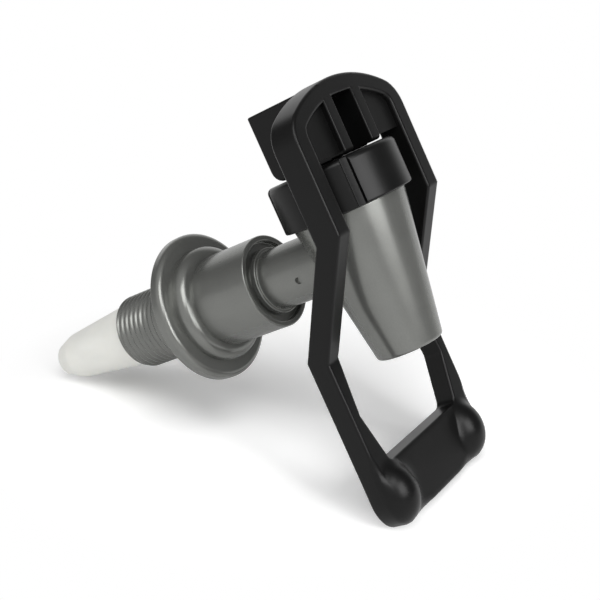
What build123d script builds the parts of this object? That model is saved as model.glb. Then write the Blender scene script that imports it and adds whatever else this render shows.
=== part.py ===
from build123d import *
from math import cos, pi, sin, sqrt
import os

# Push-lever dispenser tap, in millimetres. The shank's axis is Y and its panel face is y = 0,
# so the tap stands ahead of the panel at negative y. +Z is up, and the spout points down.

# Shank, flange, domed boss and open sleeve: one grey moulding
shank_r = 10.4
shank_length = 25.2
shank_end_chamfer = 1.0
flange_r = 20.1
flange_thickness = 3.6
flange_chamfer = 1.0
boss_r = 15.7
boss_height = 3.9
boss_round = 3.0
boss_facets = 3
boss_groove_width = 0.8
boss_groove_depth = 0.5
sleeve_r = 12.3
sleeve_wall = 1.5
sleeve_reach = 25.6
sleeve_floor = 21.0
clip_shelf = 12.0
rear_bore_r = 8.4

# Pipe and spigot of the tap body, on the shank's axis
pipe_r = 8.0
pipe_collar_r = 8.8
pipe_collar_width = 1.6
spigot_r = 7.0
spigot_land = 1.6
water_r = 4.5
gate_reach = 38.1
gate_drop = 1.5
gate_r = 1.0
gate_depth = 0.7

# Spout and valve chamber of the tap body, on the upright axis
spout_reach = 55.25
spout_drop = 27.2
spout_tip_r = 8.6
spout_tip_chamfer = 0.7
shoulder_height = 10.0
shoulder_r = 14.55
neck_r = 13.4
neck_height = 7.0
outlet_r = 6.2
outlet_length = 17.5
throat_length = 2.2
seat_r = 5.0
seat_lip = 1.2
seat_height = 1.0
chamber_depth = 6.0
chamber_r = 10.4

# Bonnet, screwed on the neck
bonnet_r = 16.65
bonnet_top = 3.2
bonnet_chamfer = 1.1
bonnet_grooves = 4
bonnet_groove_width = 1.8
bonnet_groove_depth = 0.8
bonnet_first_groove = 45
spring_recess = 0.8

# Seat cup of silicone, with the stem's button held under its lip
cup_r = 7.8
cup_rim_r = 12.8
cup_rim_thickness = 1.8
cup_wall = 1.3
cup_floor = 2.0
cup_lip = 1.3

# Stem, washer, spring and hinge pin
stem_r = 3.8
stem_crown = 3.8
stem_chamfer = 1.4
button_r = 5.3
button_thickness = 2.2
washer_r = 5.4
washer_thickness = 0.8
spring_r = 4.75
spring_wire = 0.9
spring_wire_sides = 4
spring_turns = 4
pin_r = 1.5
pin_height = 31.0
pin_recess = 0.3

# Lever: a loop of two arms under an arched head, closed below by a push bar with two knobs
lever_width = 51.0
arm_thickness = 5.45
arm_depth = 7.2
kink_front = 6.3
kink_rear = 5.8
bend_front = -20.3
bend_rear = -18.9
low_arm_setback = 6.15
low_arm_depth = 5.8
crown_height = 40.4
crown_r = 46.0
crown_band = 4.4
crown_shoulder = 8.0
window_round = 3.0
lever_edge = 0.6
toe_reach = 11.25
heel_reach = 10.85
heel_round = 3.0
toe_round = 1.0
cheek_thickness = 4.0
web_recess = 1.5
web_thickness = 2.5
web_lift = 0.9
waist_z = -35.0
waist_thickness = 3.7
bar_foot_half = 17.9
bar_top = -48.5
bar_bottom = -63.6
bar_corner = 6.0
knob_r = 6.3
knob_half_height = 8.0
knob_setback = 8.85
knob_z = -56.3

# Seal rings of square section, and clip
seal_section = 1.5
seal_groove_width = 2.0
spigot_seal_station = 4.0
clip_r = 8.1
clip_thickness = 1.0
clip_groove_depth = 1.0
clip_mouth = 7.5

# White inlet tail, pushed into the shank's rear bore
tail_reach = 31.2
tail_root_r = 9.0
tail_neck_r = 6.6
tail_tip_r = 4.8
tail_nose = 5.5
tail_bore_r = 3.9
tail_bore_length = 12.0
tail_mouth_r = 5.8
tail_seal_inset = 4.0

# Clearances between pieces
spigot_fit = 0.05
neck_fit = 0.05
plug_fit = 0.05
plug_gap = 0.4
stem_fit = 0.10
pin_fit = 0.05
pin_press = 0.01
button_fit = 0.05
seal_fit = 0.02
clip_fit = 0.05
head_gap = 0.3
slot_play = 0.8

# Levels and stations that several pieces share
spigot_bore_r = spigot_r + spigot_fit
spigot_end = clip_shelf + clip_thickness + spigot_land
tail_front = spigot_end + plug_gap
tail_end = shank_length + tail_reach
plug_r = rear_bore_r - plug_fit
rim_z = shoulder_height + neck_height
floor_z = -chamber_depth
seat_z = floor_z + seat_height
ceiling_z = rim_z + cup_rim_thickness
bonnet_z = ceiling_z + bonnet_top
button_z = seat_z + cup_floor
lip_z = button_z + button_thickness
washer_z = lip_z + cup_lip
spring_z = washer_z + washer_thickness
head_base = bonnet_z + head_gap
slot_half = stem_r + slot_play
head_half = slot_half + cheek_thickness
head_front = spout_reach + toe_reach
head_rear = spout_reach - heel_reach
low_arm_front = spout_reach - low_arm_setback
low_arm_rear = low_arm_front - low_arm_depth
spout_axis = Pos(0, -spout_reach, 0)


def outline(*corners):
    return make_face(Polyline(*corners, close=True))


def rounded(face, corner, radius):
    nearest = face.vertices().sort_by_distance(corner)[0]
    return fillet(nearest, radius)


def turned_on_shank(face):
    """Turns a face of (radius, station) points about the shank's axis."""
    return revolve(face, Axis.Y)


def turned_on_spout(face):
    """Turns a face of (radius, height) points about the upright axis through the spout."""
    return spout_axis * revolve(Plane.XZ * face, Axis.Z)


def shank_cylinder(radius, start, end):
    return turned_on_shank(outline((0, start), (radius, start), (radius, end), (0, end)))


def shank_ring(inner, outer, start, end):
    return turned_on_shank(outline((inner, start), (outer, start), (outer, end), (inner, end)))


def mounting_shank():
    sleeve_bore_r = sleeve_r - sleeve_wall
    boss_front = -flange_thickness - boss_height
    round_r = min(boss_round, boss_height, boss_r - sleeve_r)
    boss_edge = []
    for step in range(boss_facets + 1):
        turn = pi / 2 * step / boss_facets
        boss_edge.append((boss_r - round_r * (1 - sin(turn)), boss_front + round_r * (1 - cos(turn))))
    face = outline(
        (spigot_bore_r, -sleeve_floor),
        (sleeve_bore_r, -sleeve_floor),
        (sleeve_bore_r, -sleeve_reach),
        (sleeve_r, -sleeve_reach),
        (sleeve_r, boss_front - boss_groove_width),
        (sleeve_r - boss_groove_depth, boss_front - boss_groove_width),
        (sleeve_r - boss_groove_depth, boss_front),
        *boss_edge,
        (boss_r, -flange_thickness),
        (flange_r - flange_chamfer, -flange_thickness),
        (flange_r, -flange_thickness + flange_chamfer),
        (flange_r, 0),
        (shank_r, 0),
        (shank_r, shank_length - shank_end_chamfer),
        (shank_r - shank_end_chamfer, shank_length),
        (rear_bore_r, shank_length),
        (rear_bore_r, clip_shelf),
        (spigot_bore_r, clip_shelf),
    )
    return turned_on_shank(face)


def tap_body():
    cone = outline(
        (0, -spout_drop),
        (spout_tip_r - spout_tip_chamfer, -spout_drop),
        (spout_tip_r, -spout_drop + spout_tip_chamfer),
        (shoulder_r, shoulder_height),
        (neck_r, shoulder_height),
        (neck_r, rim_z),
        (0, rim_z),
    )
    body = turned_on_spout(cone)
    body += shank_cylinder(pipe_r, -spout_reach, -sleeve_floor)
    body += shank_cylinder(spigot_r, -sleeve_floor, spigot_end)
    collar_front = -sleeve_reach - pipe_collar_width / 2
    body += shank_cylinder(pipe_collar_r, collar_front, collar_front + pipe_collar_width)
    seal_floor = spigot_bore_r - seal_section
    seal_start = spigot_seal_station - seal_groove_width / 2
    body -= shank_ring(seal_floor, spigot_bore_r, seal_start, seal_start + seal_groove_width)
    clip_floor = spigot_r - clip_groove_depth
    body -= shank_ring(clip_floor, spigot_bore_r, clip_shelf, clip_shelf + clip_thickness + clip_fit)
    gate_side = -sqrt(pipe_r**2 - gate_drop**2)
    gate = Pos(gate_side, -gate_reach, -gate_drop) * Rot(0, 90, 0) * Cylinder(gate_r, 2 * gate_depth)
    body -= gate
    waterway = outline(
        (0, -spout_drop),
        (outlet_r, -spout_drop),
        (outlet_r, -spout_drop + outlet_length),
        (seat_r, -spout_drop + outlet_length + throat_length),
        (seat_r, seat_z),
        (seat_r + seat_lip, seat_z),
        (seat_r + seat_lip, floor_z),
        (chamber_r, floor_z),
        (chamber_r, rim_z),
        (0, rim_z),
    )
    body -= turned_on_spout(waterway)
    body -= shank_cylinder(water_r, -spout_reach + seat_r + seat_lip, spigot_end)
    return body


def inlet_tail():
    face = outline(
        (tail_mouth_r, tail_front),
        (plug_r, tail_front),
        (plug_r, shank_length),
        (tail_root_r, shank_length),
        (tail_neck_r, tail_end - tail_nose),
        (tail_tip_r, tail_end),
        (tail_bore_r, tail_end),
        (tail_bore_r, tail_end - tail_bore_length),
        (tail_mouth_r, tail_end - tail_bore_length),
    )
    groove_start = shank_length - tail_seal_inset - seal_groove_width
    groove_floor = rear_bore_r - seal_section
    groove = shank_ring(groove_floor, rear_bore_r, groove_start, groove_start + seal_groove_width)
    return turned_on_shank(face) - groove


def seal_ring(bore_r, station):
    """A seal ring squeezed between its groove and the bore of radius bore_r."""
    inner_r = bore_r - seal_section + seal_fit
    return shank_ring(inner_r, bore_r - seal_fit, station - seal_section / 2, station + seal_section / 2)


def spigot_seal():
    return seal_ring(spigot_bore_r, spigot_seal_station)


def tail_seal():
    return seal_ring(rear_bore_r, shank_length - tail_seal_inset - seal_groove_width / 2)


def retaining_clip():
    inner_r = spigot_r - clip_groove_depth + clip_fit
    ring = shank_ring(inner_r, clip_r, clip_shelf, clip_shelf + clip_thickness)
    mouth_y = clip_shelf + clip_thickness / 2
    return ring - Pos(0, mouth_y, -clip_r / 2) * Box(clip_mouth, 2 * clip_thickness, clip_r)


def bonnet():
    stem_hole_r = stem_r + stem_fit
    face = outline(
        (neck_r + neck_fit, shoulder_height),
        (bonnet_r, shoulder_height),
        (bonnet_r, bonnet_z - bonnet_chamfer),
        (bonnet_r - bonnet_chamfer, bonnet_z),
        (stem_hole_r, bonnet_z),
        (stem_hole_r, ceiling_z + spring_recess),
        (spring_r + spring_wire, ceiling_z + spring_recess),
        (spring_r + spring_wire, ceiling_z),
        (neck_r + neck_fit, ceiling_z),
    )
    cap = turned_on_spout(face)
    height = bonnet_z - shoulder_height
    cutter = Box(2 * bonnet_groove_depth, bonnet_groove_width, height)
    for place in PolarLocations(bonnet_r, bonnet_grooves, start_angle=bonnet_first_groove):
        cap -= spout_axis * Pos(0, 0, shoulder_height + height / 2) * place * cutter
    return cap


def seat_cup():
    face = outline(
        (0, seat_z),
        (cup_r, seat_z),
        (cup_r, rim_z),
        (cup_rim_r, rim_z),
        (cup_rim_r, ceiling_z),
        (cup_r - cup_wall, ceiling_z),
        (cup_r - cup_wall, washer_z),
        (stem_r + button_fit, washer_z),
        (stem_r + button_fit, lip_z),
        (button_r + button_fit, lip_z),
        (button_r + button_fit, button_z),
        (0, button_z),
    )
    return turned_on_spout(face)


def valve_stem():
    top = pin_height + stem_crown
    face = outline(
        (0, button_z),
        (button_r, button_z),
        (button_r, lip_z),
        (stem_r, lip_z),
        (stem_r, top - stem_chamfer),
        (stem_r - stem_chamfer, top),
        (0, top),
    )
    stem = turned_on_spout(face)
    eye = Pos(0, -spout_reach, pin_height) * Rot(0, 90, 0) * Cylinder(pin_r + pin_fit, 4 * stem_r)
    return stem - eye


def hinge_pin():
    length = 2 * (head_half - pin_recess)
    return Pos(0, -spout_reach, pin_height) * Rot(0, 90, 0) * Cylinder(pin_r, length)


def spring_washer():
    hole_r = stem_r + stem_fit
    return turned_on_spout(
        outline((hole_r, washer_z), (washer_r, washer_z), (washer_r, spring_z), (hole_r, spring_z))
    )


def return_spring():
    top = ceiling_z + spring_recess
    height = top - spring_z - spring_wire
    coil = Helix(height / spring_turns, height, spring_r)
    section = Plane(coil @ 0, z_dir=coil % 0) * RegularPolygon(spring_wire / 2, spring_wire_sides)
    wire = sweep(section, path=coil, is_frenet=True)
    return spout_axis * Pos(0, 0, spring_z + spring_wire / 2) * wire


def arch(half_width, height, radius, foot):
    """Front view of a gate with an arched top, from its foot up to its crown."""
    spring_line = height - radius + sqrt(radius**2 - half_width**2)
    sides = Polyline((half_width, spring_line), *foot, (-half_width, spring_line))
    crown = ThreePointArc((-half_width, spring_line), (0, height), (half_width, spring_line))
    return make_face([*sides.edges(), *crown.edges()]), spring_line


def lever():
    half = lever_width / 2
    window_half = half - arm_thickness
    outer, shoulder = arch(half, crown_height, crown_r, [(half, bar_bottom), (-half, bar_bottom)])
    for side in (-half, half):
        outer = rounded(outer, (side, shoulder), crown_shoulder)
        outer = rounded(outer, (side, bar_bottom), bar_corner)
    waist_half = half - waist_thickness
    window_foot = [
        (window_half, bend_rear),
        (waist_half, waist_z),
        (bar_foot_half, bar_top),
        (-bar_foot_half, bar_top),
        (-waist_half, waist_z),
        (-window_half, bend_rear),
    ]
    slot_top = crown_height - crown_band
    window, window_shoulder = arch(window_half, slot_top, crown_r - crown_band, window_foot)
    for side in (-window_half, window_half):
        window = rounded(window, (side, window_shoulder), window_round)
    arm = outline(
        (-head_front, crown_height),
        (-head_front, kink_front),
        (-low_arm_front, bend_front),
        (-low_arm_front, bar_bottom),
        (-low_arm_rear, bar_bottom),
        (-low_arm_rear, bend_rear),
        (-head_front + arm_depth, kink_rear),
        (-head_front + arm_depth, crown_height),
    )
    loop = extrude(Plane.YZ * arm, amount=half, both=True)
    loop &= extrude(Plane.XZ * (outer - window), amount=head_front)
    loop = chamfer(loop.edges(), lever_edge)
    web_height = crown_height - head_base - web_lift
    web_panel = Pos(0, crown_height - web_height / 2) * Rectangle(lever_width, web_height)
    web = extrude(Plane.XZ.offset(head_front - web_recess) * (outer & web_panel), amount=-web_thickness)
    head_top = crown_height - crown_r + sqrt(crown_r**2 - head_half**2)
    head_side = outline(
        (-head_front, head_base), (-head_rear, head_base), (-head_rear, head_top), (-head_front, head_top)
    )
    head_side = rounded(head_side, (-head_rear, head_base), heel_round)
    head_side = rounded(head_side, (-head_front, head_base), toe_round)
    head = extrude(Plane.YZ * head_side, amount=head_half, both=True)
    knob_rise = knob_half_height - knob_r
    knob = Cylinder(knob_r, 2 * knob_rise)
    knob += Pos(0, 0, knob_rise) * Sphere(knob_r)
    knob += Pos(0, 0, -knob_rise) * Sphere(knob_r)
    body = loop + web + head
    for side in (-1, 1):
        placed = Pos(side * (half - knob_r), knob_setback - spout_reach, knob_z) * knob
        body += split(placed, Plane.XZ.offset(low_arm_rear), keep=Keep.TOP)
    slot_side = outline(
        (-head_front, head_base), (-head_rear, head_base), (-head_rear, slot_top), (-head_front, slot_top)
    )
    body -= extrude(Plane.YZ * slot_side, amount=slot_half, both=True)
    pin_hole = Pos(0, -spout_reach, pin_height) * Rot(0, 90, 0) * Cylinder(pin_r + pin_press, lever_width)
    return body - pin_hole


PIECES = [
    mounting_shank,
    tap_body,
    inlet_tail,
    bonnet,
    lever,
    valve_stem,
    hinge_pin,
    seat_cup,
    return_spring,
    spring_washer,
    spigot_seal,
    retaining_clip,
    tail_seal,
]

os.makedirs("parts", exist_ok=True)
for piece in PIECES:
    export_step(piece(), f"parts/{piece.__name__}.step")
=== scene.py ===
import bmesh
import bpy
from math import cos, floor, pi, radians, sin, sqrt, tan
from mathutils import Matrix, Vector


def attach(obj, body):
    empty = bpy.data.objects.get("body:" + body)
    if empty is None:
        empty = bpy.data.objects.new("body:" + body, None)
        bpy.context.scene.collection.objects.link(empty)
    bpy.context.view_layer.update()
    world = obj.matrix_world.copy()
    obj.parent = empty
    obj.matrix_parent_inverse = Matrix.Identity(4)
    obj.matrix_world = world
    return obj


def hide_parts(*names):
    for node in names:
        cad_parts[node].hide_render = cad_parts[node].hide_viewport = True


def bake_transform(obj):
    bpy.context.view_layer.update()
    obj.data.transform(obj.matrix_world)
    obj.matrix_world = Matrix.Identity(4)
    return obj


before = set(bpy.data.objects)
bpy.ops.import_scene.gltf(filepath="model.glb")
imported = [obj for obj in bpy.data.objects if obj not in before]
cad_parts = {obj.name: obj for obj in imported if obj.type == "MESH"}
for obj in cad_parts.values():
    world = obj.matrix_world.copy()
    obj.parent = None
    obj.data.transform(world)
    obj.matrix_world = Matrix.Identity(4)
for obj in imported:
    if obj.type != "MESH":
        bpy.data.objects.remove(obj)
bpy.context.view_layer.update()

# Mounting shank: one injection moulding with the panel flange, a domed boss, an open sleeve round
# the pipe and a pipe thread for the lock nut. It is silver-grey ABS, moulded in a two-part tool,
# so every outer edge is a little rounded. Lengths are in millimetres here and in every section.
MM = 0.001
SHARP_ANGLE = radians(38)
SHANK_R = 10.4
SHANK_END = 25.2
SHANK_TURNS = 128
SPIGOT_BORE_R = 7.05
TAIL_BORE_R = 8.4
SHELF = 12.0
RECESS_R = 10.8
RECESS_FLOOR = -24.0
SLEEVE_R = 12.3
SLEEVE_MOUTH = -25.6
BOSS_R = 15.7
BOSS_FRONT = -7.5
BOSS_ROUND = 3.0
FLANGE_R = 20.1
FLANGE_FRONT = -3.6
FLANGE_ROUND = 1.7
THREAD_PITCH = 1.814
THREAD_DEPTH = 0.62
THREAD_START = 7.0
THREAD_RUNOUT = 7.0
THREAD_ROW = 0.15
THREAD_ROWS = 114
RIDGE_POWER = 0.8


def linear(code):
    """An sRGB hex colour as the linear colour that Blender's sockets take."""
    parts = [int(code[i:i + 2], 16) / 255 for i in (1, 3, 5)]
    return (*(p / 12.92 if p <= 0.04045 else ((p + 0.055) / 1.055) ** 2.4 for p in parts), 1.0)


def add_node(owner, kind, inputs, **settings):
    """Adds a node to a material or world; an input that is a socket is linked, any other is set."""
    made = owner.node_tree.nodes.new(kind)
    for name, value in settings.items():
        setattr(made, name, value)
    for name, value in inputs.items():
        if isinstance(value, bpy.types.NodeSocket):
            owner.node_tree.links.new(value, made.inputs[name])
        else:
            made.inputs[name].default_value = value
    return made


def new_material(name):
    made = bpy.data.materials.new(name)
    made.use_nodes = True
    made.node_tree.nodes.clear()
    return made


def cloud(material, size, detail):
    """Noise over a piece with spots of a real size."""
    place = add_node(material, "ShaderNodeTexCoord", {})
    noise = add_node(material, "ShaderNodeTexNoise", {
        "Vector": place.outputs["Object"], "Scale": 1 / (size * MM), "Detail": detail})
    return noise.outputs["Fac"]


def tint(material, share, first, second):
    """A colour between two others."""
    mix = add_node(material, "ShaderNodeMix", {0: share, 6: first, 7: second}, data_type="RGBA")
    return mix.outputs[2]


def spread(owner, share, low, high):
    """A share from 0 to 1, spread from low to high."""
    made = add_node(owner, "ShaderNodeMapRange", {"Value": share, "To Min": low, "To Max": high})
    return made.outputs["Result"]


def grain_normal(material, height, strength, depth):
    """The normal of a surface with a shallow grain."""
    bump = add_node(material, "ShaderNodeBump", {
        "Height": height, "Strength": strength, "Distance": depth * MM})
    return bump.outputs["Normal"]


def surface(material, inputs):
    """Closes a material with its one shader."""
    shader = add_node(material, "ShaderNodeBsdfPrincipled", inputs)
    add_node(material, "ShaderNodeOutputMaterial", {"Surface": shader.outputs["BSDF"]})


# Silver-grey ABS, injection moulded: aluminium flake in the plastic gives a broad soft glint,
# and the flow of the melt leaves faint clouds. Flake and grain are drawn coarser than real to show.
FLOW_CLOUD = 9.0
FLAKE = 0.45
SATIN_GRAIN = 0.8
GRAIN_DEPTH = 0.05
grey_abs = new_material("silver_grey_abs")
flow = cloud(grey_abs, FLOW_CLOUD, 3.0)
flow_tint = tint(grey_abs, flow, linear("#666766"), linear("#7c7d7a"))
flake = cloud(grey_abs, FLAKE, 2.0)
satin_grain = cloud(grey_abs, SATIN_GRAIN, 2.0)
surface(grey_abs, {
    "Base Color": tint(grey_abs, flake, flow_tint, linear("#7b7c78")),
    "Roughness": spread(grey_abs, flow, 0.20, 0.28), "Metallic": 0.65, "IOR": 1.5,
    "Normal": grain_normal(grey_abs, satin_grain, 0.05, GRAIN_DEPTH)})


def softened(corners, steps=5):
    """Rounds a closed outline of (x, y) or (x, y, corner radius) points."""
    points = []
    for i, corner in enumerate(corners):
        here = Vector(corner[:2])
        if len(corner) == 2:
            points.append(here)
            continue
        to_last = (Vector(corners[i - 1][:2]) - here).normalized()
        to_next = (Vector(corners[(i + 1) % len(corners)][:2]) - here).normalized()
        half = to_last.angle(to_next) / 2
        centre = here + (to_last + to_next).normalized() * corner[2] / sin(half)
        start = here + to_last * corner[2] / tan(half) - centre
        end = here + to_next * corner[2] / tan(half) - centre
        for k in range(steps + 1):
            points.append(centre + start.slerp(end, k / steps) * start.length)
    return points


def on_shank(r, turn, station):
    """A place round the shank's axis."""
    return Vector((r * cos(turn), station, r * sin(turn)))


def even_turns(count):
    return [2 * pi * k / count for k in range(count)]


def smooth(data):
    """Shades a mesh smooth, with its sharp edges kept."""
    data.shade_smooth()
    data.set_sharp_from_angle(angle=SHARP_ANGLE)


def new_piece(name, mesh, material):
    """Turns a bmesh in millimetres into a piece in metres."""
    bmesh.ops.recalc_face_normals(mesh, faces=mesh.faces)
    bmesh.ops.scale(mesh, vec=(MM, MM, MM), verts=mesh.verts)
    data = bpy.data.meshes.new(name)
    mesh.to_mesh(data)
    mesh.free()
    data.materials.append(material)
    smooth(data)
    piece = bpy.data.objects.new(name, data)
    bpy.context.scene.collection.objects.link(piece)
    return piece


def turned(name, outline, place, turns, material, relief=None):
    """Turns an outline of (radius, station) points; relief changes a radius by turn and station."""
    mesh = bmesh.new()
    rings = []
    for turn in turns:
        ring = []
        for r, station in outline:
            out = relief(r, turn, station) if relief else r
            ring.append(mesh.verts.new(place(out, turn, station)))
        rings.append(ring)
    for ring, after in zip(rings, rings[1:] + rings[:1]):
        for k in range(len(ring)):
            mesh.faces.new([ring[k], ring[k - 1], after[k - 1], after[k]])
    bmesh.ops.remove_doubles(mesh, verts=mesh.verts, dist=1e-5)
    return new_piece(name, mesh, material)


def even_normals(piece):
    """Keeps broad faces flat to the eye beside their rounded edges."""
    piece.modifiers.new("even_normals", "WEIGHTED_NORMAL").keep_sharp = True


def thread(r, turn, station):
    """A rounded pipe thread that runs out towards the flange."""
    if abs(r - SHANK_R) > 0.01 or station < THREAD_START:
        return r
    turns_along = station / THREAD_PITCH - turn / (2 * pi)
    ridge = 0.5 + 0.5 * cos(2 * pi * (turns_along - floor(turns_along)))
    depth = THREAD_DEPTH * min(1.0, (station - THREAD_START) / THREAD_RUNOUT)
    return r - depth * (1 - ridge ** RIDGE_POWER)


shank_outline = softened([
    (SPIGOT_BORE_R, RECESS_FLOOR), (RECESS_R, RECESS_FLOOR, 0.3), (RECESS_R, SLEEVE_MOUTH, 0.35),
    (SLEEVE_R, SLEEVE_MOUTH, 0.45), (SLEEVE_R, BOSS_FRONT), (BOSS_R, BOSS_FRONT, BOSS_ROUND),
    (BOSS_R, FLANGE_FRONT), (FLANGE_R, FLANGE_FRONT, FLANGE_ROUND), (FLANGE_R, 0.0, 0.4),
    (SHANK_R, 0.0, 0.3)], steps=7)
shank_outline += [(SHANK_R, THREAD_START + THREAD_ROW * k) for k in range(THREAD_ROWS)]
shank_outline += softened([
    (SHANK_R, SHANK_END - 1.0), (SHANK_R - 1.0, SHANK_END), (TAIL_BORE_R, SHANK_END),
    (TAIL_BORE_R, SHELF), (SPIGOT_BORE_R, SHELF)])
shank = turned("mounting_shank_moulding", shank_outline, on_shank, even_turns(SHANK_TURNS),
               grey_abs, thread)
even_normals(shank)
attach(shank, "tap")
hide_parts("mounting_shank")

# Tap body: the pipe, the tapered spout and the bonnet's neck in one moulding of the same grey ABS.
# The pipe ends in a spigot inside the shank, and its side keeps the small dimple of the moulding
# gate. The waterway runs from the spigot through the valve chamber and its seat to the outlet.
SPOUT_REACH = 55.25
OUTLET = -27.2
OUTLET_OUTER_R = 8.6
CONE_TOP = 10.0
CONE_TOP_R = 14.55
NECK_R = 13.4
NECK_TOP = 17.0
PIPE_R = 8.0
COLLAR_R = 8.8
COLLAR_FRONT = -26.4
COLLAR_REAR = -24.8
PIPE_SHOULDER = -24.0
SPIGOT_R = 7.0
SPIGOT_END = 14.6
SEAL_GROOVE_R = 5.55
CLIP_GROOVE_R = 6.0
OUTLET_R = 6.2
OUTLET_FLARE_R = 6.7
SEAT_R = 5.0
SEAT_TOP = -5.0
CHAMBER_R = 10.4
CHAMBER_FLOOR = -6.0
PIPE_BORE_R = 4.5
PIPE_BORE_FRONT = -49.05
GATE_X = -7.858
GATE_Y = -38.1
GATE_Z = -1.5
GATE_DEPTH = 0.7


def on_spout(r, turn, station):
    """A place round the spout's axis."""
    return Vector((r * cos(turn), r * sin(turn) - SPOUT_REACH, station))


def bake(piece):
    """Applies a piece's modifiers to its mesh."""
    graph = bpy.context.evaluated_depsgraph_get()
    piece.data = bpy.data.meshes.new_from_object(piece.evaluated_get(graph))
    piece.modifiers.clear()


def combine(piece, tool, operation):
    """Joins a tool to a piece or cuts it away, and uses the tool up."""
    change = piece.modifiers.new("combine", "BOOLEAN")
    change.operation = operation
    change.solver = "EXACT"
    change.object = tool
    bake(piece)
    bpy.data.objects.remove(tool)


def rod(name, r, low, high, place, turns, material):
    """A plain round bar, to cut a bore with."""
    return turned(name, [(0.0, low), (r, low), (r, high), (0.0, high)], place, turns, material)


def on_gate(r, turn, station):
    """A place round the moulding gate's axis."""
    return Vector((GATE_X - station, GATE_Y + r * cos(turn), GATE_Z + r * sin(turn)))


body_piece = turned("tap_body_moulding", softened([
    (0.0, OUTLET), (OUTLET_OUTER_R, OUTLET, 0.9), (CONE_TOP_R, CONE_TOP, 0.3), (NECK_R, CONE_TOP),
    (NECK_R, NECK_TOP, 0.3), (0.0, NECK_TOP)]), on_spout, even_turns(144), grey_abs)
pipe = turned("pipe", softened([
    (0.0, -SPOUT_REACH), (PIPE_R, -SPOUT_REACH), (PIPE_R, COLLAR_FRONT, 0.2),
    (COLLAR_R, COLLAR_FRONT, 0.3), (COLLAR_R, COLLAR_REAR, 0.3), (PIPE_R, COLLAR_REAR, 0.2),
    (PIPE_R, PIPE_SHOULDER), (SPIGOT_R, PIPE_SHOULDER), (SPIGOT_R, 3.0), (SEAL_GROOVE_R, 3.0),
    (SEAL_GROOVE_R, 5.0), (SPIGOT_R, 5.0), (SPIGOT_R, SHELF), (CLIP_GROOVE_R, SHELF),
    (CLIP_GROOVE_R, SHELF + 1.05), (SPIGOT_R, SHELF + 1.05), (SPIGOT_R, SPIGOT_END, 0.4),
    (0.0, SPIGOT_END)]), on_shank, even_turns(120), grey_abs)
combine(body_piece, pipe, "UNION")
waterway = turned("waterway", [
    (0.0, OUTLET - 0.8), (OUTLET_FLARE_R, OUTLET - 0.8), (OUTLET_FLARE_R, OUTLET - 0.1),
    (OUTLET_R, OUTLET + 0.4), (OUTLET_R, -9.7), (SEAT_R, -7.5), (SEAT_R, SEAT_TOP),
    (OUTLET_R, SEAT_TOP), (OUTLET_R, CHAMBER_FLOOR), (CHAMBER_R, CHAMBER_FLOOR),
    (CHAMBER_R, NECK_TOP + 1.0), (0.0, NECK_TOP + 1.0)], on_spout, even_turns(120), grey_abs)
combine(body_piece, waterway, "DIFFERENCE")
pipe_bore = rod("pipe_bore", PIPE_BORE_R, PIPE_BORE_FRONT, SPIGOT_END + 0.4, on_shank,
                even_turns(96), grey_abs)
combine(body_piece, pipe_bore, "DIFFERENCE")
gate = turned("gate", [
    (0.0, -GATE_DEPTH), (0.7, -GATE_DEPTH), (1.15, GATE_DEPTH), (0.0, GATE_DEPTH)], on_gate,
    even_turns(40), grey_abs)
combine(body_piece, gate, "DIFFERENCE")
smooth(body_piece.data)
even_normals(body_piece)
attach(body_piece, "tap")
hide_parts("tap_body")

# Spigot seal, tail seal and retaining clip: two black nitrile rings squeezed in their grooves and
# a spring-steel clip that snaps in the spigot's groove behind the shank's shelf. They show as the
# CAD has them.


def paint_node(name, material):
    """Gives a CAD node that shows as it is its material."""
    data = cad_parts[name].data
    data.materials.clear()
    data.materials.append(material)


# Nitrile rubber: nearly black and dull, with a faint grey bloom.
BLOOM = 1.5
nitrile = new_material("black_nitrile")
bloom = cloud(nitrile, BLOOM, 3.0)
surface(nitrile, {
    "Base Color": tint(nitrile, bloom, linear("#151515"), linear("#232323")),
    "Roughness": 0.6, "IOR": 1.52})

# Drawn stainless steel: a sharp, slightly blurred shine, mottled finely by the die.
DIE_MOTTLE = 0.25
steel = new_material("drawn_stainless_steel")
die_mottle = cloud(steel, DIE_MOTTLE, 2.0)
surface(steel, {
    "Base Color": tint(steel, die_mottle, linear("#b9babb"), linear("#cfd0d1")),
    "Metallic": 1.0, "Roughness": spread(steel, die_mottle, 0.18, 0.34)})
paint_node("spigot_seal", nitrile)
paint_node("tail_seal", nitrile)
paint_node("retaining_clip", steel)

# Inlet tail: a tapered white spout of natural polyethylene, pushed in the shank's rear bore and
# sealed there. Its root shoulder stops on the shank's end, and its nose is rounded for a hose.
PLUG_R = 8.35
PLUG_FRONT = 15.0
TAIL_GROOVE_R = 6.9
TAIL_ROOT_R = 9.0
TAIL_NOSE = 56.4
TAIL_BORE_END = 44.4
TAIL_INNER_R = 5.8
NOSE_BORE_R = 3.9

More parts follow.
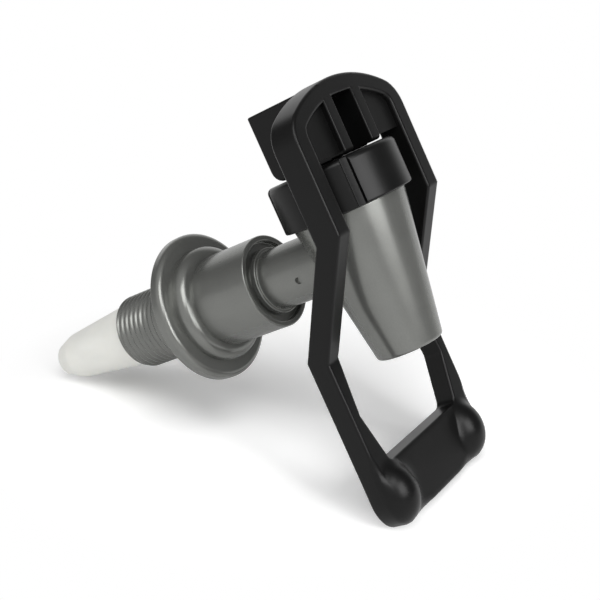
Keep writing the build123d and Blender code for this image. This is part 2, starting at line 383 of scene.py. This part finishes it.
# Natural polyethylene: a waxy, milky white that light enters a little way.
PE_CLOUD = 6.0
PE_GLOW_DEPTH = 2.5
natural_pe = new_material("natural_polyethylene")
pe_cloud = cloud(natural_pe, PE_CLOUD, 3.0)
surface(natural_pe, {
    "Base Color": tint(natural_pe, pe_cloud, linear("#e2e2dc"), linear("#ecece7")),
    "Roughness": spread(natural_pe, pe_cloud, 0.38, 0.50), "IOR": 1.51,
    "Subsurface Weight": 0.35, "Subsurface Radius": (1.0, 0.95, 0.85),
    "Subsurface Scale": PE_GLOW_DEPTH * MM})
tail = turned("inlet_tail_moulding", softened([
    (TAIL_INNER_R, PLUG_FRONT), (PLUG_R, PLUG_FRONT, 0.4), (PLUG_R, 19.2), (TAIL_GROOVE_R, 19.2),
    (TAIL_GROOVE_R, 21.2), (PLUG_R, 21.2), (PLUG_R, SHANK_END), (TAIL_ROOT_R, SHANK_END, 0.3),
    (6.6, 50.9, 6.0), (4.8, TAIL_NOSE, 0.5), (NOSE_BORE_R, TAIL_NOSE, 0.3),
    (NOSE_BORE_R, TAIL_BORE_END), (TAIL_INNER_R, TAIL_BORE_END, 0.5)], steps=8),
    on_shank, even_turns(112), natural_pe)
even_normals(tail)
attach(tail, "tap")
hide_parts("inlet_tail")

# Seat cup: a milky silicone cup that closes on the valve seat. Its rim is clamped under the bonnet
# and its lip holds the stem's button. In the real tap its wall stretches and folds as the stem
# lifts; this mesh is made once and stays as it is.
CUP_R = 7.8
CUP_INNER_R = 6.5
CUP_RIM_R = 12.8
CUP_RIM_TOP = 18.8
CUP_LIP_R = 3.85
BUTTON_BED_R = 5.35
BUTTON_LOW = -3.0
BUTTON_TOP = -0.8

# Silicone: a soft, milky white with a dull sheen.
MILK_CLOUD = 4.0
MILK_GLOW_DEPTH = 1.5
silicone = new_material("milky_silicone")
milk = cloud(silicone, MILK_CLOUD, 2.0)
surface(silicone, {
    "Base Color": tint(silicone, milk, linear("#dcdcd6"), linear("#e8e8e4")),
    "Roughness": 0.45, "IOR": 1.41, "Subsurface Weight": 0.4,
    "Subsurface Scale": MILK_GLOW_DEPTH * MM})
cup_wall_out = [(CUP_R, -4.0 + k) for k in range(21)]
cup_wall_in = [(CUP_INNER_R, 18.0 - k) for k in range(17)]
cup = turned("seat_cup_silicone", softened([
    (0.0, SEAT_TOP), (CUP_R, SEAT_TOP, 0.8), *cup_wall_out, (CUP_R, NECK_TOP),
    (CUP_RIM_R, NECK_TOP, 0.3), (CUP_RIM_R, CUP_RIM_TOP, 0.3), (CUP_INNER_R, CUP_RIM_TOP, 0.4),
    *cup_wall_in, (CUP_INNER_R, 0.5), (CUP_LIP_R, 0.5), (CUP_LIP_R, BUTTON_TOP),
    (BUTTON_BED_R, BUTTON_TOP), (BUTTON_BED_R, BUTTON_LOW), (0.0, BUTTON_LOW)]),
    on_spout, even_turns(72), silicone)
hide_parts("seat_cup")
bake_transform(cup)

# Valve stem: a black rod with a button in the seat cup below and a rounded, cross-drilled head for
# the hinge pin above. A steel washer on the cup's lip carries the return spring.
STEM_R = 3.8
STEM_TOP = 34.8
BUTTON_R = 5.3
EYE_R = 1.55
EYE_HALF = 9.0
PIN_Z = 31.0

# Black moulded plastic: a deep, even black under a soft half gloss. Its grain is drawn coarser than
# real to show.
BLACK_CLOUD = 11.0
BLACK_GRAIN = 0.9
black_abs = new_material("black_abs")
black_cloud = cloud(black_abs, BLACK_CLOUD, 4.0)
black_grain = cloud(black_abs, BLACK_GRAIN, 2.0)
surface(black_abs, {
    "Base Color": tint(black_abs, black_cloud, linear("#080808"), linear("#0d0d0d")),
    "Roughness": spread(black_abs, black_cloud, 0.28, 0.38), "IOR": 1.5,
    "Specular IOR Level": 0.22,
    "Normal": grain_normal(black_abs, black_grain, 0.12, GRAIN_DEPTH)})


def across(r, turn, station):
    """A place round the hinge pin's axis."""
    return Vector((station, r * cos(turn) - SPOUT_REACH, r * sin(turn) + PIN_Z))


stem = turned("valve_stem_rod", softened([
    (0.0, BUTTON_LOW), (BUTTON_R, BUTTON_LOW, 0.4), (BUTTON_R, BUTTON_TOP, 0.4),
    (STEM_R, BUTTON_TOP), (STEM_R, STEM_TOP, 1.8), (0.0, STEM_TOP)], steps=7),
    on_spout, even_turns(64), black_abs)
eye = rod("eye", EYE_R, -EYE_HALF, EYE_HALF, across, even_turns(40), black_abs)
combine(stem, eye, "DIFFERENCE")
smooth(stem.data)
even_normals(stem)
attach(stem, "stem")
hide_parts("valve_stem")
paint_node("spring_washer", steel)

# Return spring: round stainless wire, coiled with closed end turns, between the washer and the
# bonnet's recess. The real spring shortens as the stem lifts; this coil is made at one length.
COIL_R = 4.75
WIRE_R = 0.45
WIRE_SIDES = 10
SPRING_LOW = 1.3
SPRING_HIGH = 19.6
CLOSED_TURNS = 0.9
OPEN_TURNS = 4.2
ALL_TURNS = OPEN_TURNS + 2 * CLOSED_TURNS
COIL_STEPS = 150


def clamped(share):
    return min(max(share, 0.0), 1.0)


def coil_height(share):
    """Height of the wire's centre along the coil; the closed turns lie wire on wire."""
    turns = share * ALL_TURNS
    past_open = max(turns - CLOSED_TURNS - OPEN_TURNS, 0.0)
    closed = 2 * WIRE_R * (min(turns, CLOSED_TURNS) + past_open)
    climb = SPRING_HIGH - SPRING_LOW - 2 * WIRE_R - 4 * WIRE_R * CLOSED_TURNS
    return SPRING_LOW + WIRE_R + closed + climb * clamped((turns - CLOSED_TURNS) / OPEN_TURNS)


coil = bmesh.new()
coil_rings = []
for k in range(COIL_STEPS + 1):
    angle = 2 * pi * ALL_TURNS * k / COIL_STEPS
    height = coil_height(k / COIL_STEPS)
    coil_rings.append([
        coil.verts.new(on_spout(COIL_R + WIRE_R * cos(t), angle, height + WIRE_R * sin(t)))
        for t in even_turns(WIRE_SIDES)])
for ring, after in zip(coil_rings, coil_rings[1:]):
    for j in range(WIRE_SIDES):
        coil.faces.new([ring[j - 1], ring[j], after[j], after[j - 1]])
coil.faces.new(coil_rings[0])
coil.faces.new(coil_rings[-1])
spring = new_piece("return_spring_coil", coil, steel)
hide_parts("return_spring")
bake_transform(spring)

# Bonnet: a black screw cap on the body's neck that clamps the cup's rim, moulded like the lever.
# Grip grooves run down its side and cut the rounded top edge.
BONNET_R = 16.65
BONNET_TOP = 22.0
BONNET_BORE_R = 13.45
STEM_HOLE_R = 3.9
SPRING_BED_R = 5.65
GROOVE_DEPTH = 0.75
GROOVE_HALF = 0.9
GROOVE_EDGE = 0.35
GROOVE_INNER_R = 14.5
GROOVE_TURNS = [radians(45 + 90 * k) for k in range(4)]
GROOVE_STEP = radians(0.55)
bonnet_turns = sorted(even_turns(120) + [
    at + GROOVE_STEP * step for at in GROOVE_TURNS for step in range(-12, 13)])


def eased(share):
    """A share that starts and ends level."""
    return share * share * (3 - 2 * share)


def grip(r, turn, station):
    """Sinks a grip groove in the bonnet's side."""
    if r < GROOVE_INNER_R:
        return r
    off = min(abs((turn - at + pi) % (2 * pi) - pi) for at in GROOVE_TURNS) * BONNET_R
    share = clamped((GROOVE_HALF + GROOVE_EDGE - off) / GROOVE_EDGE)
    return min(r, BONNET_R - GROOVE_DEPTH * eased(share))


bonnet = turned("bonnet_cap", softened([
    (BONNET_BORE_R, CONE_TOP, 0.3), (BONNET_R, CONE_TOP, 0.5), (BONNET_R, BONNET_TOP, 1.5),
    (STEM_HOLE_R, BONNET_TOP, 0.3), (STEM_HOLE_R, SPRING_HIGH), (SPRING_BED_R, SPRING_HIGH),
    (SPRING_BED_R, CUP_RIM_TOP), (BONNET_BORE_R, CUP_RIM_TOP)], steps=8),
    on_spout, bonnet_turns, black_abs, grip)
even_normals(bonnet)
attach(bonnet, "tap")
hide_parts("bonnet")

# Lever: one black ABS moulding that a cup pushes. Two arms run from an arched head, kink back past
# the spout and close in a push bar with a knob at each end. The head's block is slotted for the
# stem and stands behind a thin web that fills the arch.
HALF_WIDTH = 25.5
WINDOW_HALF = 20.05
WAIST_HALF = 21.8
WAIST_Z = -35.0
CROWN_R = 46.0
CROWN_TOP = 40.4
CROWN_BAND = 4.4
CROWN_STEPS = 28
OUTER_SHOULDER = 8.0
INNER_SHOULDER = 3.0
ARCH_FOOT = 20.0
HEAD_FRONT = -66.5
ARM_DEPTH = 7.2
LOW_FRONT = -49.1
LOW_REAR = -43.3
FRONT_KINK = 6.3
FRONT_SLOPE = 26.6
REAR_KINK = 5.8
REAR_SLOPE = 24.7
LEAN_START = REAR_KINK - REAR_SLOPE
KINK_ROWS = (7.0, FRONT_KINK, REAR_KINK, 5.1, -18.2, -18.9, -20.3, -21.0)
LOW_ARM = 15.0
LOW_ARM_STEPS = 12
BAR_TOP = -48.5
BAR_BOTTOM = -63.6
BAR_HALF = 9.0
BAR_STEPS = 8
BAR_CORNER_X = 17.9
BAR_CORNER_END = 15.8
BAR_CORNER_START = 0.88
EDGE_ROUND = 0.7
KNOB_R = 6.3
KNOB_HALF = 8.0
KNOB_X = HALF_WIDTH - KNOB_R
KNOB_Y = -46.4
KNOB_Z = -56.3
KNOB_FOOT = radians(50)
KNOB_SWEEP = radians(100)
KNOB_STEPS = 24
KNOB_EDGE = 2.0
KNOB_EDGE_REACH = 14.0
KNOB_EDGE_BLEND = 5.0
CORNER_STEPS = 3
FACE_STEPS = 16


def front_of_arm(z):
    return HEAD_FRONT + (LOW_FRONT - HEAD_FRONT) * clamped((FRONT_KINK - z) / FRONT_SLOPE)


def rear_of_arm(z):
    head_rear = HEAD_FRONT + ARM_DEPTH
    return head_rear + (LOW_REAR - head_rear) * clamped((REAR_KINK - z) / REAR_SLOPE)


def evenly(path, count):
    """Points at equal spacing along a path."""
    lengths = [0.0]
    for here, there in zip(path, path[1:]):
        lengths.append(lengths[-1] + (there - here).length)
    points = []
    for k in range(count + 1):
        want = lengths[-1] * k / count
        at = max(i for i in range(len(path) - 1) if lengths[i] <= want + 1e-9)
        share = min((want - lengths[at]) / (lengths[at + 1] - lengths[at]), 1.0)
        points.append(path[at].lerp(path[at + 1], share))
    return points


def crown_corner(half, radius, corner, count):
    """The arch from its crown to an arm, with its shoulder rounded."""
    centre_z = CROWN_TOP - CROWN_R
    arc_end = half - corner
    reach = radius - corner
    shoulder = Vector((arc_end, centre_z + sqrt(reach ** 2 - arc_end ** 2)))
    lean = (shoulder - Vector((0, centre_z))).normalized()
    turn_at = pi / 2 - lean.angle(Vector((0, 1)))
    path = []
    for k in range(41):
        turn = pi / 2 - (pi / 2 - turn_at) * k / 40
        path.append(Vector((radius * cos(turn), centre_z + radius * sin(turn))))
    for k in range(1, 21):
        turn = turn_at * (1 - k / 20)
        path.append(shoulder + corner * Vector((cos(turn), sin(turn))))
    path.append(Vector((half, ARCH_FOOT)))
    return evenly(path, count)


def left_half(points):
    """The other side of a right-hand outline, run back to its start."""
    return [Vector((-p.x, p.y)) for p in reversed(points)]


outer_side = crown_corner(HALF_WIDTH, CROWN_R, OUTER_SHOULDER, CROWN_STEPS)
inner_side = crown_corner(WINDOW_HALF, CROWN_R - CROWN_BAND, INNER_SHOULDER, CROWN_STEPS)
for z in (*KINK_ROWS, WAIST_Z):
    outer_side.append(Vector((HALF_WIDTH, z)))
    lean = clamped((LEAN_START - z) / (LEAN_START - WAIST_Z))
    inner_side.append(Vector((WINDOW_HALF + (WAIST_HALF - WINDOW_HALF) * lean, z)))
waist = inner_side[-1]
bar_corner = Vector((BAR_CORNER_X, BAR_TOP))
corner_start = waist.lerp(bar_corner, BAR_CORNER_START)
corner_end = Vector((BAR_CORNER_END, BAR_TOP))
for k in range(1, LOW_ARM_STEPS + 1):
    outer_side.append(Vector((HALF_WIDTH, WAIST_Z - LOW_ARM * k / LOW_ARM_STEPS)))
    inner_side.append(waist.lerp(corner_start, k / LOW_ARM_STEPS))
knob_outline = [outer_side[-1]]
for k in range(33):
    turn = KNOB_SWEEP * k / 32
    knob_outline.append(Vector((KNOB_X + KNOB_R * cos(turn), KNOB_Z - KNOB_HALF * sin(turn))))
knob_outline.append(Vector((BAR_HALF, BAR_BOTTOM)))
outer_side += evenly(knob_outline, KNOB_STEPS)[1:]
for k in range(1, KNOB_STEPS + 1):
    share = k / KNOB_STEPS
    leaving = corner_start.lerp(bar_corner, share)
    inner_side.append(leaving.lerp(bar_corner.lerp(corner_end, share), share))
for k in range(1, BAR_STEPS + 1):
    outer_side.append(Vector((BAR_HALF * (1 - k / BAR_STEPS), BAR_BOTTOM)))
    inner_side.append(Vector((corner_end.x * (1 - k / BAR_STEPS), BAR_TOP)))
loop_outer = outer_side + left_half(outer_side[1:-1])
loop_inner = inner_side + left_half(inner_side[1:-1])


def knob_rise(x, z):
    """How far a knob stands ahead of the bar's front: a ball, with a fillet round its foot."""
    out = sqrt((abs(x) - KNOB_X) ** 2 + ((z - KNOB_Z) * KNOB_R / KNOB_HALF) ** 2)
    sunk = KNOB_Y - LOW_FRONT
    foot = KNOB_R * sin(KNOB_FOOT)
    if out < foot:
        return sqrt(KNOB_R ** 2 - out ** 2) - sunk
    foot_rise = KNOB_R * cos(KNOB_FOOT) - sunk
    fillet = 2 * foot_rise / tan(KNOB_FOOT)
    return foot_rise * max(1 - (out - foot) / fillet, 0.0) ** 2


def edge(radius, turn):
    """Reach and inset on a rounded edge."""
    return radius * (1 - cos(turn)), radius * (1 - sin(turn))


def lever_section(outside, inside):
    """Points round the loop's section: an oblong with rounded edges, and the knob on its front."""
    width = (inside - outside).length
    across_arm = (inside - outside) / width
    from_knob = (Vector((abs(outside.x), outside.y)) - Vector((KNOB_X, KNOB_Z))).length
    near_knob = eased(clamped((KNOB_EDGE_REACH - from_knob) / KNOB_EDGE_BLEND))
    outer_round = EDGE_ROUND + (KNOB_EDGE - EDGE_ROUND) * near_knob
    flat = width - outer_round - EDGE_ROUND
    turns = [pi / 2 * k / CORNER_STEPS for k in range(CORNER_STEPS + 1)]
    outer_edge = [edge(outer_round, t) for t in turns]
    face = [(outer_round + flat * k / FACE_STEPS, 0.0) for k in range(1, FACE_STEPS)]
    rear_outer_edge = [edge(EDGE_ROUND, t) for t in turns]
    inner_edge = [(width - reach, inset) for reach, inset in rear_outer_edge]
    points = []
    for reach, inset in outer_edge + face + inner_edge[::-1]:
        spot = outside + across_arm * reach
        y = front_of_arm(spot.y) + inset - knob_rise(spot.x, spot.y)
        points.append((spot.x, y, spot.y))
    for reach, inset in inner_edge + rear_outer_edge[::-1]:
        spot = outside + across_arm * reach
        points.append((spot.x, rear_of_arm(spot.y) - inset, spot.y))
    return points


loop = bmesh.new()
hoops = [[loop.verts.new(p) for p in lever_section(*pair)] for pair in zip(loop_outer, loop_inner)]
for hoop, after in zip(hoops, hoops[1:] + hoops[:1]):
    for k in range(len(hoop)):
        loop.faces.new([hoop[k - 1], hoop[k], after[k], after[k - 1]])
lever = new_piece("lever_moulding", loop, black_abs)

HEAD_BASE = 22.3
HEAD_HALF = 8.6
HEAD_REAR = -44.4
HEAD_TOP = CROWN_TOP - CROWN_R + sqrt(CROWN_R ** 2 - HEAD_HALF ** 2)
HEAD_EDGE = 0.45
PAD_BASE = 22.06
PAD_FRONT = -62.0
PAD_REAR = -50.0
PAD_RAMP = 0.4
SLOT_HALF = 4.6
SLOT_TOP = CROWN_TOP - CROWN_BAND
WEB_LOW = 23.2
WEB_ARCH_LOW = 24.0
WEB_SHARE = 0.97
WEB_DROP = 1.0
WEB_FRONT = HEAD_FRONT + 1.5
WEB_REAR = HEAD_FRONT + 4.0
PIN_HOLE_R = 1.51


def side_view(y, z, x):
    return Vector((x, y, z))


def front_view(x, z, y):
    return Vector((x, y, z))


def plate(name, outline, place, low, high, material):
    """A solid from an outline carried from low to high."""
    mesh = bmesh.new()
    ends = [[mesh.verts.new(place(p[0], p[1], at)) for p in outline] for at in (low, high)]
    mesh.faces.new(ends[0])
    mesh.faces.new(ends[1])
    for k in range(len(outline)):
        mesh.faces.new([ends[0][k - 1], ends[0][k], ends[1][k], ends[1][k - 1]])
    return new_piece(name, mesh, material)


def cut_slot(piece):
    """Cuts the stem's slot through a part of the head, open in front, behind and below."""
    outline = [(-80.0, 0.0), (-30.0, 0.0), (-30.0, SLOT_TOP), (-80.0, SLOT_TOP)]
    slot = plate("slot", outline, side_view, -SLOT_HALF, SLOT_HALF, black_abs)
    combine(piece, slot, "DIFFERENCE")


block = plate("block", softened([
    (HEAD_FRONT, HEAD_BASE, 1.0), (PAD_FRONT - PAD_RAMP, HEAD_BASE), (PAD_FRONT, PAD_BASE),
    (PAD_REAR, PAD_BASE), (PAD_REAR + PAD_RAMP, HEAD_BASE), (HEAD_REAR, HEAD_BASE, 3.0),
    (HEAD_REAR, HEAD_TOP), (HEAD_FRONT, HEAD_TOP)]), side_view, -HEAD_HALF, HEAD_HALF, black_abs)
cut_slot(block)
block_edge = block.modifiers.new("block_edge", "BEVEL")
block_edge.width = HEAD_EDGE * MM
block_edge.segments = 3
block_edge.limit_method = "ANGLE"
block_edge.angle_limit = radians(42)
bake(block)
arch = left_half(outer_side[1:CROWN_STEPS]) + outer_side[:CROWN_STEPS]
web_arch = [(p.x * WEB_SHARE, p.y - WEB_DROP) for p in arch if p.y > WEB_ARCH_LOW]
web_outline = [(web_arch[0][0], WEB_LOW), *web_arch, (web_arch[-1][0], WEB_LOW)]
web = plate("web", web_outline, front_view, WEB_FRONT, WEB_REAR, black_abs)
cut_slot(web)
combine(lever, web, "UNION")
combine(lever, block, "UNION")
pin_hole = rod("pin_hole", PIN_HOLE_R, -20.0, 20.0, across, even_turns(40), black_abs)
combine(lever, pin_hole, "DIFFERENCE")
smooth(lever.data)
even_normals(lever)
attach(lever, "lever")
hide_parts("lever")

# Hinge pin: a stainless rod with broken ends, pressed through the head's cheeks and the stem's eye.
# It turns with the lever.
PIN_R = 1.5
PIN_HALF = 8.3
pin = turned("hinge_pin_rod", softened([
    (0.0, -PIN_HALF), (PIN_R, -PIN_HALF, 0.3), (PIN_R, PIN_HALF, 0.3), (0.0, PIN_HALF)]),
    across, even_turns(40), steel)
even_normals(pin)
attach(pin, "lever")
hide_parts("hinge_pin")

# Table: a white board under the tap, which lies on its knobs and on the end of its tail, so the
# board leans to the tap's own axes. It shows from above only, holds the tap's shadow and fades to
# plain white round it. Glossy surfaces see that white at a part of its strength.
TABLE_UP = Vector((0.0, -0.50, 0.865)).normalized()
TABLE_LEVEL = -33.4
TABLE_HALF = 3000.0
SHADOW_CENTRE = (25.0 * MM, 6.0 * MM, -35.0 * MM)
SHADOW_NEAR = 50.0
SHADOW_FAR = 90.0
MIRRORED_SHARE = 0.65
SEEN_WHITE = (1.2, 1.2, 1.2, 1.0)
WHITE = (1.0, 1.0, 1.0, 1.0)


def calculate(owner, operation, *values):
    made = add_node(owner, "ShaderNodeMath", dict(enumerate(values)), operation=operation)
    return made.outputs["Value"]


def measure(owner, operation, first, second):
    made = add_node(owner, "ShaderNodeVectorMath", {0: first, 1: second}, operation=operation)
    return made.outputs["Value"]


# White painted board: a flat white that the light in the room brings just to paper white.
white_board = new_material("white_board")
board_place = add_node(white_board, "ShaderNodeNewGeometry", {})
board_path = add_node(white_board, "ShaderNodeLightPath", {})
from_tap = measure(white_board, "DISTANCE", board_place.outputs["Position"], SHADOW_CENTRE)
fade = add_node(white_board, "ShaderNodeMapRange", {
    "Value": from_tap, "From Min": SHADOW_NEAR * MM, "From Max": SHADOW_FAR * MM})
in_mirrors = calculate(white_board, "MAXIMUM", board_path.outputs["Is Glossy Ray"],
                       board_path.outputs["Is Transmission Ray"])
looked_at = calculate(white_board, "MULTIPLY_ADD", in_mirrors, MIRRORED_SHARE,
                      board_path.outputs["Is Camera Ray"])
board_paint = add_node(white_board, "ShaderNodeBsdfDiffuse", {"Color": tint(
    white_board, board_path.outputs["Is Camera Ray"], linear("#f0f0f0"), SEEN_WHITE)})
board_glow = add_node(white_board, "ShaderNodeEmission", {"Color": WHITE, "Strength": 1.0})
board_mix = add_node(white_board, "ShaderNodeMixShader", {
    0: calculate(white_board, "MULTIPLY", fade.outputs["Result"], looked_at),
    1: board_paint.outputs["BSDF"], 2: board_glow.outputs["Emission"]})
see_through = add_node(white_board, "ShaderNodeBsdfTransparent", {})
one_sided = add_node(white_board, "ShaderNodeMixShader", {
    0: board_place.outputs["Backfacing"], 1: board_mix.outputs["Shader"],
    2: see_through.outputs["BSDF"]})
add_node(white_board, "ShaderNodeOutputMaterial", {"Surface": one_sided.outputs["Shader"]})
across_table = Vector((1.0, 0.0, 0.0))
along_table = TABLE_UP.cross(across_table)
board_mesh = bmesh.new()
board_mesh.faces.new([board_mesh.verts.new(
    (TABLE_UP * TABLE_LEVEL + across_table * TABLE_HALF * i + along_table * TABLE_HALF * j) * MM)
    for i, j in ((-1, -1), (1, -1), (1, 1), (-1, 1))])
board_data = bpy.data.meshes.new("table_board")
board_mesh.to_mesh(board_data)
board_mesh.free()
board_data.materials.append(white_board)
board = bpy.data.objects.new("table_board", board_data)
bpy.context.scene.collection.objects.link(board)

# Light: a pale room, brightest behind the camera and a little to its left, with two soft windows,
# one above the camera and one at its right. The backdrop is white to the camera, and glossy
# surfaces see it white too where it stands behind the tap.
RIGHT = Vector((0.518, -0.7511, -0.4093)).normalized()
UP = Vector((0.3169, -0.276, 0.9074)).normalized()
BACK = RIGHT.cross(UP).normalized()
BRIGHT_SIDE = (-0.32 * RIGHT + 0.18 * UP + 0.93 * BACK).normalized()
ROOM_DIM = 0.17
ROOM_BRIGHT = 0.88
DIM_FROM = 0.1
BACKDROP_NEAR = -0.38
BACKDROP_FAR = -0.62
WINDOW_AWAY = 700.0
WINDOW_SIZE = 400.0
AIM = Vector((0.0, -20.0, -5.0))
scene = bpy.context.scene
scene.view_settings.view_transform = "Standard"
room = bpy.data.worlds.new("pale_room")
scene.world = room
room.use_nodes = True
room.node_tree.nodes.clear()
room_path = add_node(room, "ShaderNodeLightPath", {})
room_place = add_node(room, "ShaderNodeTexCoord", {})
room_side = measure(room, "DOT_PRODUCT", room_place.outputs["Generated"], BRIGHT_SIDE)
room_depth = measure(room, "DOT_PRODUCT", room_place.outputs["Generated"], BACK)
backdrop = add_node(room, "ShaderNodeMapRange", {
    "Value": room_depth, "From Min": BACKDROP_NEAR, "From Max": BACKDROP_FAR})
mirrored_backdrop = calculate(room, "MULTIPLY", backdrop.outputs["Result"],
                              room_path.outputs["Is Glossy Ray"])
room_looked_at = calculate(room, "MAXIMUM", room_path.outputs["Is Camera Ray"],
                           room_path.outputs["Is Transmission Ray"])
room_shade = add_node(room, "ShaderNodeMapRange", {
    "Value": room_side, "From Min": DIM_FROM, "From Max": 1.0,
    "To Min": ROOM_DIM, "To Max": ROOM_BRIGHT}, interpolation_type="SMOOTHSTEP")
room_level = add_node(room, "ShaderNodeMix", {
    0: calculate(room, "MAXIMUM", room_looked_at, mirrored_backdrop),
    2: room_shade.outputs["Result"], 3: 1.0}, data_type="FLOAT")
room_light = add_node(room, "ShaderNodeBackground", {
    "Color": WHITE, "Strength": room_level.outputs[0]})
add_node(room, "ShaderNodeOutputWorld", {"Surface": room_light.outputs["Background"]})


def window(name, toward, power):
    """A soft square lamp that faces the tap."""
    lamp = bpy.data.lights.new(name, "AREA")
    lamp.shape = "SQUARE"
    lamp.size = WINDOW_SIZE * MM
    lamp.energy = power
    held = bpy.data.objects.new(name, lamp)
    place = Matrix.Translation((AIM + toward.normalized() * WINDOW_AWAY) * MM)
    held.matrix_world = place @ toward.to_track_quat("Z", "Y").to_matrix().to_4x4()
    scene.collection.objects.link(held)


window("window_above_camera", 0.06 * RIGHT + 0.55 * UP + 0.83 * BACK, 2.1)
window("window_at_right", 0.66 * RIGHT + 0.20 * UP + 0.72 * BACK, 2.9)

# Camera: the photograph's own place and lens, fitted to the tap's circles and straight edges. The
# focal length is in pixels of the photograph's width.
EYE = Vector((-256.5, -223.8, 23.7))
SENSOR = 36.0
FOCAL_PX = 1263.3
PHOTO_PX = 600
lens = bpy.data.cameras.new("camera")
lens.sensor_width = SENSOR
lens.lens = SENSOR * FOCAL_PX / PHOTO_PX
lens.clip_start = 10.0 * MM
camera = bpy.data.objects.new("camera", lens)
camera_axes = Matrix((RIGHT, UP, BACK)).transposed().to_4x4()
camera.matrix_world = Matrix.Translation(EYE * MM) @ camera_axes
scene.collection.objects.link(camera)
scene.camera = camera
